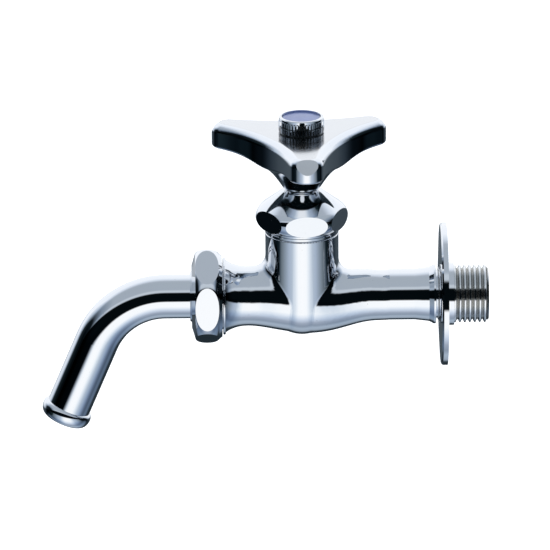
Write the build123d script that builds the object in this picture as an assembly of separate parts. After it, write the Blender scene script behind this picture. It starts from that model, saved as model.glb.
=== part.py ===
from build123d import *
from math import cos, hypot, radians, sin
import os

# Hose bib (wall tap) with a turning spout.
# Millimetres. +Z is up and +X points into the wall. The origin is on the inlet axis, in the plane of the
# wall. The waterway runs along X, the valve stands on a vertical axis, and the spout leaves towards -X.

# ---- driving dimensions -------------------------------------------------------------------------------
# inlet: 1/2 inch parallel pipe thread, 14 threads to the inch
INLET_MAJOR_R = 20.955 / 2
INLET_MINOR_R = 18.631 / 2
INLET_PITCH = 25.4 / 14
INLET_START_X = 1.8
INLET_END_X = 15.1
RUN_OUT_X = -3.4
RUN_OUT_R = 10.28
RELIEF_R = 8.7
INLET_BORE_R = 6.5
PIPE_R = 9.25
# the two gland threads, 20 threads to the inch
GLAND_PITCH = 25.4 / 20
SPOUT_THREAD_R = 12.9
BONNET_THREAD_R = 11.5
THREAD_GAP = 0.1
# valve
VALVE_X = -52.8
NECK_R = 13.35
CUP_Z = -0.85
NECK_TOP_Z = 24.6
SPIGOT_TOP_Z = 30.0
CROTCH_R = 5.0
SPINDLE_THREAD_R = 8.5
SPINDLE_SHAFT_R = 4.9
SPLINE_R = 4.2
SEAT_Z = 2.0
SEAT_BORE_R = 6.0
SEAT_LAND_R = 7.8
RUNNING_GAP = 0.06
# bonnet nut: the hexagon is cut out of a rounded barrel that runs on as a cone
BONNET_FLATS = 30.0
BONNET_BARREL_R = 16.85
BONNET_BARREL_Z = 30.8
BONNET_FLAT_HEIGHT = 7.6
BONNET_TOP_Z = 40.6
BONNET_TOP_R = 7.3
BONNET_TURN = 6.0
# spout nut
SPOUT_FLATS = 31.5
SPOUT_BARREL_R = 17.75
SPOUT_BARREL_X = -87.5
SPOUT_FLAT_WIDTH = 8.6
SPOUT_NUT_X = -82.0
LIP_X = -80.8
LIP_R = 14.1
# spout tube
TUBE_R = 8.0
TUBE_WALL = 1.0
BEND_R = 27.0
BEND_X = -120.7
DROP_ANGLE = 67.0
DROP_LENGTH = 46.5
NOSE_R = 9.15
NOSE_LENGTH = 4.4
NOSE_BORE_R = 6.4
# handle: three arms, one of them near -Y, each with an oval flat across the top of its tip
HANDLE_TURN = 2.5
ARM_REACH = 35.8
ARM_TIP_R = 6.2
WAIST_R = 16.5
HANDLE_TOP_Z = 62.6
HANDLE_CROWN = 0.5
HANDLE_BOTTOM_Z = 41.1
ARM_BOTTOM_Z = 53.8
HUB_R = 6.8
ARM_EDGE_R = 3.2
TIP_FLAT_ANGLE = 28.5
TIP_FLAT_DEPTH = 2.4
# knurled handle screw with its coloured disc
KNOB_R = 8.25
KNOB_HEIGHT = 5.9
KNURL_TEETH = 44
KNURL_DEPTH = 0.55
DISC_R = 7.0
# wall flange
FLANGE_R = 26.0
FLANGE_RIM = 2.4
FLANGE_SHEET = 1.2

VALVE_AXIS = Axis((VALVE_X, 0, 0), (0, 0, 1))
SPIGOT_END_X = -88.0
SEAL_R = 11.8


# ---- helpers ------------------------------------------------------------------------------------------
def along_x(*corners):
    """A solid turned about the X axis from (x, radius) corners."""
    points = [(x, 0, r) for x, r in corners]
    return revolve(make_face(Polyline(*points, points[0])), Axis.X)


def upright(*corners):
    """A solid turned about the valve's vertical axis from (radius, z) corners."""
    points = [(VALVE_X + r, 0, z) for r, z in corners]
    return revolve(make_face(Polyline(*points, points[0])), VALVE_AXIS)


def ring_x(r_in, r_out, x0, x1):
    """A plain ring on the X axis."""
    return along_x((x0, r_in), (x1, r_in), (x1, r_out), (x0, r_out))


def ring_up(r_in, r_out, z0, z1):
    """A plain ring on the valve axis."""
    return upright((r_in, z0), (r_out, z0), (r_out, z1), (r_in, z1))


def rod_up(r, z0, z1):
    """A plain rod on the valve axis."""
    return upright((0, z0), (r, z0), (r, z1), (0, z1))


def thread_crests(start, end, major, minor, pitch):
    """(place, radius) corners of a row of thread crests from start to end, with flat crests and roots."""
    turns = int(abs(end - start) / pitch)
    step = pitch if end > start else -pitch
    corners = []
    for turn in range(turns):
        root = start + turn * step
        corners += [
            (root, minor),
            (root + 0.12 * step, minor),
            (root + 0.44 * step, major),
            (root + 0.68 * step, major),
        ]
    return corners + [(start + turns * step, minor)]


def hexagon(flats, start, end):
    """A hexagonal bar along Z from start to end, with two flats facing -Y and +Y."""
    outline = RegularPolygon(flats / 2, 6, major_radius=False)
    return Pos(0, 0, start) * extrude(outline, end - start)


# ---- valve body ---------------------------------------------------------------------------------------
def run_shell():
    """The horizontal run. Its belly hangs under the valve, while its top stays level with the pipe."""
    stations = [
        (LIP_X, 0, 13.3),
        (-77.8, 0, 11.7),
        (-73.0, 0, 10.9),
        (-68.0, 0, 11.3),
        (-62.5, -0.2, 12.1),
        (VALVE_X, CUP_Z, NECK_R - 0.4),
        (-45.0, -1.35, 12.1),
        (-39.5, -1.35, 11.0),
        (-35.0, -0.85, 10.25),
        (-28.0, -0.15, 9.45),
        (-21.0, 0, PIPE_R),
    ]
    belly = loft([Plane((x, 0, z), z_dir=(1, 0, 0)) * Circle(r) for x, z, r in stations])
    pipe = along_x(
        (-21.0, 0),
        (-21.0, PIPE_R),
        (-12.0, PIPE_R),
        (-9.0, 9.6),
        (-6.6, 9.9),
        (-4.9, 10.8),
        (-4.2, 10.8),
        (-3.9, RELIEF_R),
        (RUN_OUT_X, RELIEF_R),
        (RUN_OUT_X, 0),
    )
    return belly + pipe


def inlet_thread():
    """The threaded inlet: shallower run-out turns under the flange, full turns beyond it, a chamfered end."""
    run_out = thread_crests(RUN_OUT_X, INLET_START_X, RUN_OUT_R, INLET_MINOR_R, INLET_PITCH)
    full = thread_crests(INLET_START_X, INLET_END_X - 0.5, INLET_MAJOR_R, INLET_MINOR_R, INLET_PITCH)
    end = [(INLET_END_X - 0.5, INLET_MINOR_R + 0.4), (INLET_END_X, INLET_MINOR_R), (INLET_END_X, 0)]
    return along_x((RUN_OUT_X - 0.2, 0), (RUN_OUT_X - 0.2, RELIEF_R), *run_out, *full, *end)


def outlet_spigot():
    """The lip behind the spout nut and the threaded spigot inside it."""
    lip = along_x((LIP_X, 0), (LIP_X, LIP_R), (LIP_X - 0.9, LIP_R), (LIP_X - 0.9, 0))
    start = SPOUT_NUT_X + 0.3
    crests = thread_crests(start, SPIGOT_END_X, SPOUT_THREAD_R, SPOUT_THREAD_R - 0.8, GLAND_PITCH)
    thread = along_x((start + 0.5, 0), (start + 0.5, 12.1), *crests, (SPIGOT_END_X, 12.1), (SPIGOT_END_X, 0))
    return fillet(lip.edges().filter_by(GeomType.CIRCLE), 0.35) + thread


def neck():
    """The upright cup around the valve: a straight neck on a round bottom."""
    wall = Cylinder(NECK_R, NECK_TOP_Z - CUP_Z, align=(Align.CENTER, Align.CENTER, Align.MIN))
    return Pos(VALVE_X, 0, CUP_Z) * (wall + Sphere(NECK_R))


def neck_spigot():
    """The threaded spigot on top of the neck."""
    minor = BONNET_THREAD_R - 0.8
    crests = thread_crests(NECK_TOP_Z, SPIGOT_TOP_Z, BONNET_THREAD_R, minor, GLAND_PITCH)
    return upright((0, NECK_TOP_Z - 1), (minor, NECK_TOP_Z - 1), *[(r, z) for z, r in crests],
                   (minor, SPIGOT_TOP_Z), (0, SPIGOT_TOP_Z))


def slanted_passage(start, end, radius):
    """A round passage from one point of the plane y = 0 to another."""
    path = Line((start[0], 0, start[1]), (end[0], 0, end[1]))
    return sweep(Plane(path @ 0, z_dir=path % 0) * Circle(radius), path)


def waterway():
    """Everything the water fills: inlet bore, seat, chamber over the seat and outlet bore."""
    inlet = along_x((INLET_END_X + 1, 0), (INLET_END_X + 1, INLET_BORE_R), (-36.0, INLET_BORE_R), (-36.0, 0))
    to_seat = slanted_passage((-35.0, -1.2), (-48.5, -7.8), 4.2)
    below_seat = rod_up(SEAT_BORE_R, -10.5, SEAT_Z + 1)
    over_seat = ring_up(SEAT_LAND_R, SPINDLE_THREAD_R + 0.4, SEAT_Z - 1, SEAT_Z) \
        + rod_up(SPINDLE_THREAD_R + 0.4, SEAT_Z, 12.0)
    spindle_bore = rod_up(SPINDLE_THREAD_R + RUNNING_GAP, 11.0, SPIGOT_TOP_Z + 1)
    to_outlet = slanted_passage((-56.0, 8.4), (-68.0, 0.6), 4.5)
    outlet = along_x((-66.5, 0), (-66.5, 6.6), (-76.0, 6.6), (-76.0, TUBE_R + RUNNING_GAP),
                     (SPIGOT_END_X - 1, TUBE_R + RUNNING_GAP), (SPIGOT_END_X - 1, 0))
    return inlet + to_seat + below_seat + over_seat + spindle_bore + to_outlet + outlet


def on_cup(edge):
    """Does the edge run where the cup and the horizontal run meet?"""
    middle = edge @ 0.5
    below = min(middle.Z - CUP_Z, 0)
    on_wall = abs(hypot(middle.X - VALVE_X, middle.Y, below) - NECK_R) < 0.05
    return on_wall and middle.Z < NECK_TOP_Z - 1 and abs(middle.Z - CUP_Z) > 0.001


def valve_body():
    """The cast body in one piece, from the inlet thread to the outlet spigot."""
    shell = run_shell() + neck()
    shell = fillet(shell.edges().filter_by(on_cup), CROTCH_R)
    shell = fillet(shell.edges().sort_by(Axis.Z)[-1], 0.5)
    return shell + neck_spigot() + inlet_thread() + outlet_spigot() - waterway()


# ---- bonnet: nut, gasket, gland -----------------------------------------------------------------------
def bonnet_nut():
    """Cover nut: skirt, hexagon cut from a barrel, and the cone above it, around the gland."""
    half = BONNET_FLAT_HEIGHT / 2
    low = (VALVE_X + BONNET_FLATS / 2, 0, BONNET_BARREL_Z - half)
    high = (VALVE_X + BONNET_FLATS / 2, 0, BONNET_BARREL_Z + half)
    top = [
        high,
        (VALVE_X + BONNET_TOP_R, 0, BONNET_TOP_Z - 0.2),
        (VALVE_X + BONNET_TOP_R - 0.4, 0, BONNET_TOP_Z),
        (VALVE_X, 0, BONNET_TOP_Z),
        (VALVE_X, 0, NECK_TOP_Z + 0.2),
        (VALVE_X + 13.4, 0, NECK_TOP_Z + 0.2),
        (VALVE_X + 13.4, 0, NECK_TOP_Z + 1.0),
        (VALVE_X + 13.0, 0, NECK_TOP_Z + 1.2),
        (VALVE_X + 13.0, 0, NECK_TOP_Z + 1.7),
        low,
    ]
    barrel = ThreePointArc(low, (VALVE_X + BONNET_BARREL_R, 0, BONNET_BARREL_Z), high)
    blank = revolve(make_face([*barrel.edges(), *Polyline(*top).edges()]), VALVE_AXIS)
    bar = Pos(VALVE_X, 0, 0) * Rot(0, 0, BONNET_TURN) * hexagon(BONNET_FLATS, NECK_TOP_Z, BONNET_TOP_Z + 1)
    bore = rod_up(BONNET_THREAD_R + THREAD_GAP, NECK_TOP_Z, SPIGOT_TOP_Z + 1.5)
    gland = upright((0, SPIGOT_TOP_Z), (8.9, SPIGOT_TOP_Z), (8.9, 33.6), (6.1, 36.9), (5.0, 36.9),
                    (5.0, BONNET_TOP_Z + 1), (0, BONNET_TOP_Z + 1))
    return blank & bar - bore - gland


def bonnet_gasket():
    """Flat ring squeezed between the neck and the nut."""
    return ring_up(6.5, BONNET_THREAD_R - 0.1, SPIGOT_TOP_Z, SPIGOT_TOP_Z + 1.5)


def packing_washer():
    """Brass washer under the gland packing."""
    return ring_up(5.2, 8.8, SPIGOT_TOP_Z + 1.5, SPIGOT_TOP_Z + 2.5)


def gland_packing():
    """Tapered rubber ring that seals the spindle."""
    inner = SPINDLE_SHAFT_R + 0.05
    return upright((inner, 32.5), (8.8, 32.5), (8.8, 33.6), (6.1, 36.8), (inner, 36.8))


# ---- valve: spindle and jumper ------------------------------------------------------------------------
def spindle():
    """Threaded spindle, bored below for the jumper and above for the handle screw."""
    crests = thread_crests(10.0, 21.0, SPINDLE_THREAD_R, SPINDLE_THREAD_R - 0.9, 2.0)
    shape = upright((0, 6.4), (6.0, 6.4), (6.0, 9.4), *[(r, z) for z, r in crests],
                    (SPINDLE_SHAFT_R, 22.0), (SPINDLE_SHAFT_R, 46.0), (SPLINE_R, 46.6),
                    (SPLINE_R, 60.0), (0, 60.0))
    return shape - rod_up(3.05, 5.0, 21.0) - rod_up(2.45, 50.0, 61.0)


def jumper_valve():
    """Loose brass jumper: a stem in the spindle and a disc over the seat."""
    return upright((0, 0.4), (1.5, 0.4), (1.5, 4.3), (7.4, 4.3), (7.6, 4.5), (7.6, 6.3), (2.95, 6.3),
                   (2.95, 19.5), (2.4, 20.0), (0, 20.0))


def jumper_washer():
    """Rubber washer that closes on the seat."""
    return ring_up(1.5, 7.3, SEAT_Z, 4.3)


def jumper_plate():
    """Small brass washer under the rubber."""
    return ring_up(1.5, 3.6, SEAT_Z - 0.5, SEAT_Z)


def jumper_nut():
    """Small nut that holds the rubber to the jumper."""
    hexagonal = Pos(VALVE_X, 0, 0) * hexagon(5.5, 0.2, SEAT_Z - 0.5)
    return hexagonal - rod_up(1.5, 0, SEAT_Z)


# ---- handle -------------------------------------------------------------------------------------------
def star_outline():
    """Plan of the handle: three round tips joined by hollow sides."""
    centre_r = ARM_REACH - ARM_TIP_R
    # the hollow side is an arc that passes the axis at WAIST_R and touches both tips
    gap = WAIST_R**2 + centre_r**2 - centre_r * WAIST_R - ARM_TIP_R**2
    side_r = gap / (2 * ARM_TIP_R - 2 * WAIST_R + centre_r)
    side_centre_r = WAIST_R + side_r
    reach = side_r + ARM_TIP_R
    share = ARM_TIP_R / reach
    edges = []
    for arm in range(3):
        heading = -90 + HANDLE_TURN + 120 * arm
        tip = Vector(centre_r, 0).rotate(Axis.Z, heading)
        after = Vector(side_centre_r, 0).rotate(Axis.Z, heading + 60)
        before = Vector(side_centre_r, 0).rotate(Axis.Z, heading - 60)
        leave = tip + (after - tip) * share
        arrive = tip + (before - tip) * share
        outer = Vector(ARM_REACH, 0).rotate(Axis.Z, heading)
        waist = Vector(WAIST_R, 0).rotate(Axis.Z, heading + 60)
        next_tip = Vector(centre_r, 0).rotate(Axis.Z, heading + 120)
        meet = next_tip + (after - next_tip) * share
        edges += ThreePointArc(arrive, outer, leave).edges()
        edges += ThreePointArc(leave, waist, meet).edges()
    return make_face(edges)


def tip_flat(heading):
    """The waste that is cut off the upper corner of the arm at that heading, to leave an oval flat."""
    block = Pos(10 - TIP_FLAT_DEPTH, 0, 0) * Box(20, 20, 20)
    corner = Pos(ARM_REACH, 0, HANDLE_TOP_Z - HANDLE_CROWN)
    return Pos(VALVE_X, 0, 0) * Rot(0, 0, heading) * corner * Rot(0, -TIP_FLAT_ANGLE, 0) * block


def handle():
    """Three-armed handle with a deep hub, bored for the spindle."""
    low_z = HANDLE_BOTTOM_Z
    star = Pos(VALVE_X, 0, low_z - 1) * extrude(star_outline(), HANDLE_TOP_Z - low_z + 2)
    edge_r = ARM_REACH + 1
    crown = ThreePointArc(
        (VALVE_X, 0, HANDLE_TOP_Z),
        (VALVE_X + edge_r / 2, 0, HANDLE_TOP_Z - HANDLE_CROWN / 4),
        (VALVE_X + edge_r, 0, HANDLE_TOP_Z - HANDLE_CROWN),
    )
    belly = Spline(
        (VALVE_X + edge_r, 0, ARM_BOTTOM_Z),
        (VALVE_X + 24.0, 0, 53.2),
        (VALVE_X + 16.5, 0, 51.6),
        (VALVE_X + 12.0, 0, 48.6),
        (VALVE_X + 8.6, 0, 44.4),
        (VALVE_X + HUB_R, 0, low_z + 0.6),
    )
    rest = Polyline(
        (VALVE_X + HUB_R, 0, low_z + 0.6),
        (VALVE_X + HUB_R - 0.6, 0, low_z),
        (VALVE_X, 0, low_z),
        (VALVE_X, 0, HANDLE_TOP_Z),
    )
    side = Line((VALVE_X + edge_r, 0, HANDLE_TOP_Z - HANDLE_CROWN), (VALVE_X + edge_r, 0, ARM_BOTTOM_Z))
    envelope = revolve(make_face([*crown.edges(), *side.edges(), *belly.edges(), *rest.edges()]), VALVE_AXIS)
    shape = star & envelope
    top = shape.edges().filter_by(lambda e: (e @ 0.5).Z > HANDLE_TOP_Z - HANDLE_CROWN - 0.1)
    shape = fillet(top, ARM_EDGE_R)
    bottom = shape.edges().filter_by(lambda e: ARM_BOTTOM_Z - 3.5 < (e @ 0.5).Z < ARM_BOTTOM_Z + 0.2)
    shape = fillet(bottom, 0.8)
    for arm in range(3):
        shape -= tip_flat(-90 + HANDLE_TURN + 120 * arm)
    shape -= rod_up(SPINDLE_SHAFT_R + 0.1, low_z - 1, 46.7)
    shape -= rod_up(SPLINE_R, 46.0, 60.2)
    return shape - rod_up(2.7, 60.0, 64.0)


def knurl(r_out, r_root, z0, z1):
    """One row of straight knurling as a toothed disc."""
    pitch = 360 / KNURL_TEETH
    corners = []
    for tooth in range(KNURL_TEETH):
        for turn, radius in ((0.0, r_root), (0.18, r_root), (0.42, r_out), (0.76, r_out)):
            corners.append(Vector(radius, 0).rotate(Axis.Z, (tooth + turn) * pitch))
    outline = make_face(Polyline(*corners, corners[0]))
    return Pos(VALVE_X, 0, z0) * extrude(outline, z1 - z0)


def handle_screw():
    """Knurled screw that holds the handle on the spindle, with a recess for the disc."""
    base = HANDLE_TOP_Z
    root_r = KNOB_R - KNURL_DEPTH
    top = base + KNOB_HEIGHT
    head = upright((0, base), (root_r, base), (root_r, top - 1.1), (KNOB_R - 0.15, top - 1.0),
                   (KNOB_R - 0.15, top - 0.3), (KNOB_R - 0.45, top), (DISC_R + 0.1, top),
                   (DISC_R + 0.1, top - 2.0), (0, top - 2.0))
    rows = knurl(KNOB_R, root_r, base + 0.5, base + 2.5) + knurl(KNOB_R, root_r, base + 2.9, top - 1.3)
    rows -= rod_up(DISC_R + 0.1, top - 2.0, top + 1)
    shank = upright((0, 51.0), (1.9, 51.0), (2.4, 51.5), (2.4, base + 0.5), (0, base + 0.5))
    return head + rows + shank


def index_disc():
    """Blue disc let into the screw."""
    top = HANDLE_TOP_Z + KNOB_HEIGHT
    return upright((0, top - 2.0), (DISC_R, top - 2.0), (DISC_R, top - 0.75), (DISC_R - 0.25, top - 0.6),
                   (0, top - 0.45))


# ---- spout --------------------------------------------------------------------------------------------
def spout_nut():
    """Union nut of the spout: hexagon cut from a barrel, with a domed front around the tube."""
    half = SPOUT_FLAT_WIDTH / 2
    right = (SPOUT_BARREL_X + half, 0, SPOUT_FLATS / 2)
    left = (SPOUT_BARREL_X - half, 0, SPOUT_FLATS / 2)
    barrel = ThreePointArc(right, (SPOUT_BARREL_X, 0, SPOUT_BARREL_R), left)
    rest = Polyline(
        left,
        (-92.9, 0, 12.0),
        (-93.1, 0, 11.4),
        (-93.1, 0, 9.3),
        (-93.7, 0, 9.0),
        (-93.7, 0, 0),
        (SPOUT_NUT_X, 0, 0),
        (SPOUT_NUT_X, 0, 14.8),
        right,
    )
    blank = revolve(make_face([*barrel.edges(), *rest.edges()]), Axis.X)
    bar = Rot(0, 90, 0) * hexagon(SPOUT_FLATS, -95, -81)
    cavity = along_x((-81, 0), (-81, SPOUT_THREAD_R + THREAD_GAP), (-89.0, SPOUT_THREAD_R + THREAD_GAP),
                     (-89.0, SEAL_R + 0.1), (-92.0, SEAL_R + 0.1), (-92.0, TUBE_R + 0.3), (-95, TUBE_R + 0.3),
                     (-95, 0))
    return blank & bar - cavity


def spout_packing():
    """Rubber ring that seals the turning tube."""
    return ring_x(TUBE_R + 0.05, SEAL_R, -91.2, -89.3)


def spout_slip_ring():
    """Brass ring that lets the nut turn on the packing."""
    return ring_x(TUBE_R + 0.3, SEAL_R, -92.0, -91.2)


def spout_collar():
    """Brass collar brazed to the tube, trapped between the body and the packing."""
    return ring_x(TUBE_R, SEAL_R - 0.2, -89.2, -88.1)


def drop_direction():
    """Direction of the spout's last straight run."""
    return Vector(-cos(radians(DROP_ANGLE)), 0, -sin(radians(DROP_ANGLE)))


def spout_tube():
    """Bent tube, open at both ends."""
    corner = Vector(BEND_X, 0, 0)
    path = FilletPolyline((-77.0, 0, 0), corner, corner + drop_direction() * DROP_LENGTH, radius=BEND_R)
    start = Plane(path @ 0, z_dir=path % 0)
    return sweep(start * (Circle(TUBE_R) - Circle(TUBE_R - TUBE_WALL)), path)


def spout_nose_ring():
    """Rounded bead pressed over the tube's end."""
    end = Vector(BEND_X, 0, 0) + drop_direction() * DROP_LENGTH
    cup = Polyline((TUBE_R, -1.2), (TUBE_R, 0), (NOSE_BORE_R, 0), (NOSE_BORE_R, NOSE_LENGTH - 0.5),
                   (NOSE_BORE_R + 0.4, NOSE_LENGTH))
    bead = Spline((NOSE_BORE_R + 0.4, NOSE_LENGTH), (8.2, NOSE_LENGTH - 0.7), (NOSE_R, 1.6), (8.75, -0.7),
                  (TUBE_R, -1.2))
    face = make_face([*cup.edges(), *bead.edges()])
    turned = revolve(Plane.XZ * face, Axis.Z)
    return Plane(end, x_dir=(0, 1, 0), z_dir=drop_direction()) * turned


# ---- wall flange --------------------------------------------------------------------------------------
def wall_flange():
    """Pressed disc with a rim against the wall and a drawn, threaded collar."""
    bore_r = INLET_MAJOR_R + THREAD_GAP
    return along_x(
        (2.5, bore_r), (2.5, bore_r + 0.8), (-1.0, bore_r + 0.9), (-1.8, bore_r + 2.2),
        (-1.2, FLANGE_R - 2.6),
        (-1.0, FLANGE_R - FLANGE_SHEET), (0, FLANGE_R - FLANGE_SHEET), (0, FLANGE_R),
        (-FLANGE_RIM + 0.6, FLANGE_R), (-FLANGE_RIM, FLANGE_R - 0.6), (-3.0, bore_r + 2.6), (-2.7, bore_r),
    )


NODES = [
    valve_body, bonnet_nut, bonnet_gasket, packing_washer, gland_packing,
    spindle, jumper_valve, jumper_washer, jumper_plate, jumper_nut,
    handle, handle_screw, index_disc,
    spout_nut, spout_packing, spout_slip_ring, spout_collar, spout_tube, spout_nose_ring,
    wall_flange,
]

os.makedirs("parts", exist_ok=True)
for make in NODES:
    export_step(make(), f"parts/{make.__name__}.step")
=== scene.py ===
"""Looks of a chromed hose bib: its finishes, the studio it stands in and the camera."""
import math

import bpy
from mathutils import Matrix, Vector

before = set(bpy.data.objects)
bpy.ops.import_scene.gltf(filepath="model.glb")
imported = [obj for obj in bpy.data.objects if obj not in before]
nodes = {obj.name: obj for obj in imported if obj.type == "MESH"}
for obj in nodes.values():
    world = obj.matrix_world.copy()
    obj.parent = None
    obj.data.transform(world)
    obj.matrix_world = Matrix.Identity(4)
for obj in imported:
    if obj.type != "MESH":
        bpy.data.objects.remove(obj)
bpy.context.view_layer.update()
scene = bpy.context.scene

# Where finishes and painted shade change on the part. Its valve stands on a vertical axis at VALVE_X; heights
# are z.
MILLIMETRE = 0.001
VALVE_X = -0.0528
VALVE_AXIS = (VALVE_X, 0.0, 0.0)
THREAD_START_X = (-3.6 * MILLIMETRE, -3.2 * MILLIMETRE)
THREAD_ROOT_R = (10.2 * MILLIMETRE, 9.4 * MILLIMETRE)
THREAD_BORE_R = (8.2 * MILLIMETRE, 8.8 * MILLIMETRE)
HANDLE_TOP_Z = (61.6 * MILLIMETRE, 62.0 * MILLIMETRE)
KNURL_ROOT_R = (8.05 * MILLIMETRE, 7.75 * MILLIMETRE)
KNURL_TOP_Z = (67.0 * MILLIMETRE, 66.6 * MILLIMETRE)
KNURL_INNER_R = (7.3 * MILLIMETRE, 7.5 * MILLIMETRE)

# Camera.
VIEW_CENTRE = Vector((-0.06267, 0.0, 0.00788))
VIEW_ELEVATION = 18.4
VIEW_AZIMUTH = -0.8
VIEW_ROLL = -0.35
VIEW_DISTANCE = 3.0
FOCAL_LENGTH = 538.7
SENSOR_WIDTH = 36.0
CLIP_END = 60.0

# Studio.
FLOOR_Z = -0.45
FLOOR_SIZE = 24.0
FLOOR_GLOW = 0.75
LIGHTS = (
    # name, place, size, power
    ("key", (-0.8, -1.2, 1.3), 0.9, 12.0),
    ("fill", (1.1, -0.7, 0.8), 1.1, 6.0),
)

# Metals, as linear colours, and how fine a lathe's grooves are.
CHROME_BASE = (0.80, 0.81, 0.83)
BRASS_BASE = (0.78, 0.57, 0.27)
GROOVE_SCALE = 2600.0


# ---------------------------------------------------------------- node graphs

def linear(rgb):
    """An sRGB colour, 0 to 255, as the linear colour that shaders use."""
    def channel(v):
        v = v / 255.0
        return v / 12.92 if v <= 0.04045 else ((v + 0.055) / 1.055) ** 2.4
    return tuple(channel(v) for v in rgb)


class Graph:
    """Adds nodes to one node tree and wires them up."""

    def __init__(self, owner):
        owner.use_nodes = True
        self.tree = owner.node_tree
        self.tree.nodes.clear()

    def add(self, kind, values=None, **settings):
        node = self.tree.nodes.new(kind)
        for key, value in settings.items():
            setattr(node, key, value)
        for key, value in (values or {}).items():
            self.put(node.inputs[key], value)
        return node

    def put(self, socket, value):
        if isinstance(value, bpy.types.NodeSocket):
            self.tree.links.new(value, socket)
        else:
            socket.default_value = value

    def math(self, operation, *values, clamp=False):
        node = self.add("ShaderNodeMath", operation=operation, use_clamp=clamp)
        for index, value in enumerate(values):
            self.put(node.inputs[index], value)
        return node.outputs[0]

    def step(self, value, low, high):
        """0 at low, 1 at high, smooth between. low may be the larger of the two."""
        node = self.add("ShaderNodeMapRange", interpolation_type="SMOOTHSTEP")
        self.put(node.inputs["Value"], value)
        node.inputs["From Min"].default_value = low
        node.inputs["From Max"].default_value = high
        return node.outputs["Result"]

    def spread(self, value, low, high):
        """Takes 0 to 1 to low to high."""
        node = self.add("ShaderNodeMapRange")
        self.put(node.inputs["Value"], value)
        node.inputs["To Min"].default_value = low
        node.inputs["To Max"].default_value = high
        return node.outputs["Result"]

    def mix(self, factor, a, b, blend="MIX"):
        node = self.add("ShaderNodeMix", data_type="RGBA", blend_type=blend)
        for index, value in ((0, factor), (6, a), (7, b)):
            if isinstance(value, tuple) and len(value) == 3:
                value = value + (1.0,)
            self.put(node.inputs[index], value)
        return node.outputs[2]

    def ramp(self, value, stops):
        node = self.add("ShaderNodeValToRGB")
        self.put(node.inputs[0], value)
        band = node.color_ramp
        while len(band.elements) < len(stops):
            band.elements.new(0.5)
        for element, (place, colour) in zip(band.elements, sorted(stops)):
            element.position = place
            element.color = tuple(colour) + (1.0,)
        return node.outputs[0]

    def xyz(self, vector):
        return self.add("ShaderNodeSeparateXYZ", {0: vector}).outputs

    def noise(self, vector, scale, detail=3.0, roughness=0.5, distortion=0.0):
        node = self.add("ShaderNodeTexNoise", {
            "Vector": vector, "Scale": scale, "Detail": detail,
            "Roughness": roughness, "Distortion": distortion})
        return node.outputs[0]

    def place(self):
        """The point on the object, in metres, in the part's own frame."""
        return self.add("ShaderNodeTexCoord").outputs["Object"]

    def scaled(self, vector, scale, centre=(0.0, 0.0, 0.0)):
        moved = self.add("ShaderNodeVectorMath", {0: vector, 1: centre}, operation="SUBTRACT").outputs[0]
        return self.add("ShaderNodeVectorMath", {0: moved, 1: scale}, operation="MULTIPLY").outputs[0]


# ---------------------------------------------------------------- studio

# What lies round the part, as sRGB against the angle up from the front horizon,
# over the top and down behind: a dark room in front, a grey panel overhead, a white
# sweep behind, and underneath a pale table with a dark edge at its back.
STUDIO_BANDS = (
    (-180, (236, 240, 245)), (-170, (205, 211, 218)), (-162, (70, 79, 86)), (-140, (30, 39, 45)),
    (-126, (52, 62, 69)), (-116, (150, 162, 176)), (-100, (163, 177, 192)),
    (-86, (138, 150, 166)), (-73, (158, 168, 184)), (-60, (196, 207, 222)),
    (-48, (230, 236, 243)), (-38, (251, 252, 252)), (-12, (252, 252, 252)),
    (-7, (4, 10, 13)), (36, (4, 9, 12)), (41, (190, 198, 206)),
    (48, (192, 200, 208)), (54, (163, 172, 182)), (96, (163, 172, 181)),
    (106, (168, 176, 186)), (118, (212, 220, 230)), (132, (240, 244, 249)),
    (180, (245, 247, 250)),
)
# How the light falls off to the left and right, against the sideways part of the direction.
TABLE_SIDES = (
    (0.00, (255, 255, 255)), (0.20, (252, 253, 254)), (0.30, (236, 241, 246)),
    (0.40, (212, 221, 231)), (0.50, (182, 194, 208)), (0.64, (166, 179, 197)),
    (0.80, (130, 142, 154)), (0.89, (100, 110, 118)), (0.925, (30, 42, 46)),
    (1.00, (8, 14, 17)),
)
PANEL_SIDES = (
    (0.00, (255, 255, 255)), (0.70, (250, 251, 253)), (0.84, (190, 200, 212)),
    (0.93, (30, 38, 42)), (1.00, (8, 14, 17)),
)


def reflected_room(graph, direction):
    x, y, z = graph.xyz(direction)[:3]
    turn = graph.math("ARCTAN2", z, graph.math("MULTIPLY", y, -1.0))
    place = graph.math("MULTIPLY_ADD", turn, 0.5 / math.pi, 0.5)
    bands = graph.ramp(place, [((a + 180) / 360, linear(c)) for a, c in STUDIO_BANDS])
    side = graph.math("ABSOLUTE", x)
    table = graph.ramp(side, [(p, linear(c)) for p, c in TABLE_SIDES])
    panel = graph.ramp(side, [(p, linear(c)) for p, c in PANEL_SIDES])
    above = graph.step(z, -0.05, 0.15)
    behind = graph.step(y, 0.35, 0.55)
    far = graph.math("MAXIMUM", above, behind)
    return graph.mix(1.0, bands, graph.mix(far, table, panel), blend="MULTIPLY")


def build_world():
    world = bpy.data.worlds.new("studio")
    scene.world = world
    graph = Graph(world)
    direction = graph.add("ShaderNodeTexCoord").outputs["Generated"]
    room = reflected_room(graph, direction)
    seen = graph.add("ShaderNodeLightPath").outputs["Is Camera Ray"]
    lit = graph.add("ShaderNodeBackground", {"Color": room, "Strength": 1.0 / CHROME_BASE[1]})
    plain = graph.add("ShaderNodeBackground", {"Color": (1.0, 1.0, 1.0, 1.0), "Strength": 1.0})
    both = graph.add("ShaderNodeMixShader", {0: seen, 1: lit.outputs[0], 2: plain.outputs[0]})
    graph.add("ShaderNodeOutputWorld", {"Surface": both.outputs[0]})


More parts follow.
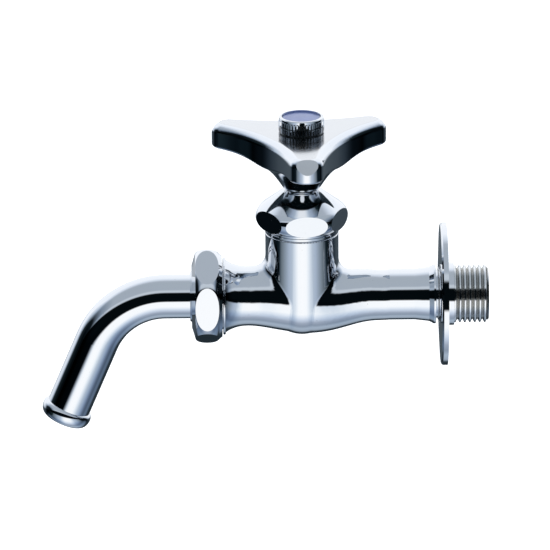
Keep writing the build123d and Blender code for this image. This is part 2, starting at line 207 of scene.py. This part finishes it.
def build_floor():
    mesh = bpy.data.meshes.new("floor")
    half = FLOOR_SIZE / 2
    corners = [(-half, -half, FLOOR_Z), (half, -half, FLOOR_Z), (half, half, FLOOR_Z), (-half, half, FLOOR_Z)]
    mesh.from_pydata(corners, [], [(0, 1, 2, 3)])
    floor = bpy.data.objects.new("floor", mesh)
    scene.collection.objects.link(floor)
    floor.visible_glossy = False
    floor.visible_shadow = False
    material = bpy.data.materials.new("pale_floor")
    graph = Graph(material)
    tone = graph.noise(graph.place(), 3.0, detail=4.0)
    colour = graph.mix(tone, (0.86, 0.87, 0.88), (0.90, 0.90, 0.90))
    shader = graph.add("ShaderNodeBsdfPrincipled", {
        "Base Color": colour, "Roughness": 0.9,
        "Emission Color": (1.0, 1.0, 1.0, 1.0), "Emission Strength": FLOOR_GLOW})
    graph.add("ShaderNodeOutputMaterial", {"Surface": shader.outputs[0]})
    mesh.materials.append(material)


def aim(thing, target, roll=0.0):
    """Points the thing's -Z at the target, with its Y up."""
    look = (target - thing.location).to_track_quat("-Z", "Y").to_matrix()
    spin = Matrix.Rotation(math.radians(roll), 3, "Z")
    thing.rotation_euler = (look @ spin).to_euler()


def build_light(name, place, size, power):
    data = bpy.data.lights.new(name, "AREA")
    data.size = size
    data.energy = power
    light = bpy.data.objects.new(name, data)
    scene.collection.objects.link(light)
    light.location = place
    light.visible_glossy = False
    aim(light, VIEW_CENTRE)


def build_camera():
    data = bpy.data.cameras.new("camera")
    data.lens = FOCAL_LENGTH
    data.sensor_width = SENSOR_WIDTH
    data.clip_end = CLIP_END
    camera = bpy.data.objects.new("camera", data)
    scene.collection.objects.link(camera)
    up = math.radians(VIEW_ELEVATION)
    around = math.radians(VIEW_AZIMUTH)
    away = Vector((math.sin(around) * math.cos(up), -math.cos(around) * math.cos(up), math.sin(up)))
    camera.location = VIEW_CENTRE + away * VIEW_DISTANCE
    aim(camera, VIEW_CENTRE, VIEW_ROLL)
    scene.camera = camera


scene.view_settings.view_transform = "Standard"
build_world()
build_floor()
for light_settings in LIGHTS:
    build_light(*light_settings)
build_camera()


# ---------------------------------------------------------------- finishes and painted shade

def around_valve(graph, point):
    """(radius, height) about the valve's vertical axis."""
    x, y, z = graph.xyz(graph.scaled(point, (1.0, 1.0, 1.0), VALVE_AXIS))[:3]
    return graph.math("SQRT", graph.math("ADD", graph.math("POWER", x, 2.0), graph.math("POWER", y, 2.0))), z


def around_water(graph, point):
    """(radius, length) about the horizontal axis of the inlet and the spout nut."""
    x, y, z = graph.xyz(point)[:3]
    return graph.math("SQRT", graph.math("ADD", graph.math("POWER", y, 2.0), graph.math("POWER", z, 2.0))), x


def turned(graph, radius, length, scale):
    """Fine grooves that run round an axis, as a lathe or a polishing wheel leaves them."""
    section = graph.add("ShaderNodeCombineXYZ", {0: radius, 1: length}).outputs[0]
    return graph.noise(section, scale, detail=5.0, roughness=0.6)


def bumped(graph, *layers):
    """Stacks bumps, each a (height, depth in metres, strength)."""
    normal = None
    for height, depth, strength in layers:
        values = {"Height": height, "Distance": depth, "Strength": strength}
        if normal is not None:
            values["Normal"] = normal
        normal = graph.add("ShaderNodeBump", values).outputs[0]
    return normal


def finish_metal(name, tint, haze, ripple, grooves=None, groove_strength=0.0, wear_and_shade=None):
    """Polished plating: faint ripples of the metal under it, wipe marks, hairlines and small pits.
    haze is the (lowest, highest) roughness, grooves a function of graph and point, and the last argument one
    that returns a mask of dull worn places and of painted shade in thread and knurl roots, with their colour
    and roughness."""
    material = bpy.data.materials.new(name)
    graph = Graph(material)
    point = graph.place()
    wiped = graph.noise(graph.scaled(point, (1.0, 1.6, 0.7)), 70.0,
                        detail=5.0, roughness=0.62, distortion=0.6)
    cloud = graph.noise(point, 24.0, detail=2.0)
    hairs = graph.noise(graph.scaled(point, (0.35, 3.0, 1.0)), 1700.0, detail=4.0, roughness=0.7)
    swell = graph.noise(point, 95.0, detail=1.5)
    pits = graph.step(graph.noise(point, 900.0, detail=2.0), 0.72, 0.80)
    cool = tuple(c * k for c, k in zip(tint, (0.95, 0.975, 1.0)))
    colour = graph.mix(graph.spread(cloud, 0.0, 1.0), tint, cool)
    colour = graph.mix(graph.math("MULTIPLY", pits, 0.35), colour, tuple(c * 0.45 for c in tint))
    mark = graph.math("MULTIPLY", graph.step(wiped, 0.42, 0.78), graph.spread(hairs, 0.55, 1.0))
    rough = graph.spread(mark, *haze)
    layers = [(swell, ripple, 0.35), (hairs, 0.000004, 0.12)]
    if grooves is not None:
        rings = grooves(graph, point)
        layers.append((rings, 0.00001, groove_strength))
        rough = graph.math("ADD", rough, graph.math("MULTIPLY", rings, 0.03))
    # Worn places and the painted shade in the thread and knurl roots both set colour and roughness here.
    if wear_and_shade is not None:
        mask, worn_and_shaded_colour, worn_rough = wear_and_shade(graph, point)
        colour = graph.mix(mask, colour, worn_and_shaded_colour)
        rough = graph.math("MAXIMUM", rough, graph.math("MULTIPLY", mask, worn_rough))
    shader = graph.add("ShaderNodeBsdfPrincipled", {
        "Base Color": colour, "Metallic": 1.0, "Roughness": rough, "Normal": bumped(graph, *layers)})
    graph.add("ShaderNodeOutputMaterial", {"Surface": shader.outputs[0]})
    return material


def rings_round_valve(graph, point):
    return turned(graph, *around_valve(graph, point), GROOVE_SCALE)


def rings_round_water(graph, point):
    return turned(graph, *around_water(graph, point), GROOVE_SCALE)


def thread_wear_and_root_shade(graph, point):
    """The inlet thread is worn duller than the rest in patches, with painted shade, a dark grey, in its
    roots.
    """
    radius, length = around_water(graph, point)
    cut = graph.step(length, *THREAD_START_X)
    root = graph.step(radius, *THREAD_ROOT_R)
    outside = graph.step(radius, *THREAD_BORE_R)
    # The dark grey in the thread roots is painted shade; the noise patches below are wear.
    root_shade = graph.math("MULTIPLY", graph.math("MULTIPLY", root, outside), cut)
    patch = graph.spread(graph.noise(point, 420.0, detail=4.0), 0.15, 0.75)
    mask = graph.math("MULTIPLY", cut, graph.math("MAXIMUM", patch, root_shade))
    return mask, graph.mix(root_shade, (0.84, 0.84, 0.82), (0.46, 0.46, 0.44)), 0.24


def brushed_top(graph, point):
    """The handle's flat top is wiped duller than its sides."""
    height = graph.xyz(point)[2]
    upward = graph.xyz(graph.add("ShaderNodeNewGeometry").outputs["Normal"])[2]
    top = graph.math("MULTIPLY", graph.step(height, *HANDLE_TOP_Z), graph.step(upward, 0.975, 0.997))
    streaks = graph.spread(graph.noise(graph.scaled(point, (0.5, 2.0, 1.0)), 800.0, detail=4.0), 0.8, 1.0)
    return graph.math("MULTIPLY", top, streaks), (0.69, 0.70, 0.72), 0.16


def knurl_groove_shade(graph, point):
    """Painted shade between the knurling's teeth: a near-black colour in the roots below the top rim."""
    radius, height = around_valve(graph, point)
    root = graph.step(radius, *KNURL_ROOT_R)
    rim = graph.step(height, *KNURL_TOP_Z)
    outer = graph.step(radius, *KNURL_INNER_R)
    mask = graph.math("MULTIPLY", graph.math("MULTIPLY", root, rim), outer)
    # The mask and its near-black colour are painted shade in the knurl roots.
    return mask, (0.10, 0.11, 0.11), 0.35


def finish_plain(name, low, high, grain, rough, depth, stretch=(1.0, 1.0, 1.0), metallic=0.0, coat=0.0):
    """A material of two close colours in a grain of that scale, with a bump of the same grain."""
    material = bpy.data.materials.new(name)
    graph = Graph(material)
    point = graph.scaled(graph.place(), stretch)
    fine = graph.noise(point, grain, detail=5.0, roughness=0.65)
    broad = graph.noise(point, grain / 12.0, detail=3.0)
    tone = graph.math("ADD", graph.math("MULTIPLY", fine, 0.6), graph.math("MULTIPLY", broad, 0.4))
    colour = graph.mix(graph.step(tone, 0.32, 0.68), low, high)
    shader = graph.add("ShaderNodeBsdfPrincipled", {
        "Base Color": colour, "Metallic": metallic, "Roughness": graph.spread(broad, *rough),
        "Coat Weight": coat, "Coat Roughness": 0.08, "Normal": bumped(graph, (fine, depth, 0.5))})
    graph.add("ShaderNodeOutputMaterial", {"Surface": shader.outputs[0]})
    return material


def dress(material, *names):
    for name in names:
        mesh = nodes[name].data
        mesh.materials.clear()
        mesh.materials.append(material)


dress(finish_metal("chrome_body", CHROME_BASE, (0.015, 0.085), 0.000018, wear_and_shade=thread_wear_and_root_shade), "valve_body")
dress(finish_metal("chrome_bonnet", CHROME_BASE, (0.02, 0.08), 0.000006, rings_round_valve, 0.30),
      "bonnet_nut", "spindle")
dress(finish_metal("chrome_union", CHROME_BASE, (0.02, 0.08), 0.000006, rings_round_water, 0.16), "spout_nut")
dress(finish_metal("chrome_handle", CHROME_BASE, (0.02, 0.10), 0.000022, wear_and_shade=brushed_top), "handle")
dress(finish_metal("chrome_knurl", CHROME_BASE, (0.05, 0.12), 0.000004, wear_and_shade=knurl_groove_shade), "handle_screw")
dress(finish_metal("chrome_spout", CHROME_BASE, (0.012, 0.07), 0.000012), "spout_tube", "spout_nose_ring")
dress(finish_metal("chrome_flange", CHROME_BASE, (0.02, 0.09), 0.000016, rings_round_water, 0.12),
      "wall_flange")
dress(finish_metal("machined_brass", BRASS_BASE, (0.16, 0.34), 0.000004, rings_round_valve, 0.35),
      "packing_washer", "jumper_valve", "jumper_plate", "jumper_nut")
dress(finish_metal("spout_brass", BRASS_BASE, (0.18, 0.36), 0.000004, rings_round_water, 0.35),
      "spout_slip_ring", "spout_collar")
dress(finish_plain("black_rubber", (0.012, 0.012, 0.013), (0.030, 0.030, 0.032), 900.0, (0.55, 0.75),
                   0.00004),
      "gland_packing", "jumper_washer", "spout_packing")
dress(finish_plain("red_fibre", (0.22, 0.045, 0.030), (0.36, 0.10, 0.06), 1500.0, (0.70, 0.90), 0.00005,
                   stretch=(1.0, 0.3, 1.0)), "bonnet_gasket")
dress(finish_plain("blue_disc", (0.115, 0.165, 0.40), (0.155, 0.215, 0.48), 420.0, (0.28, 0.42), 0.00001,
                   coat=0.5), "index_disc")
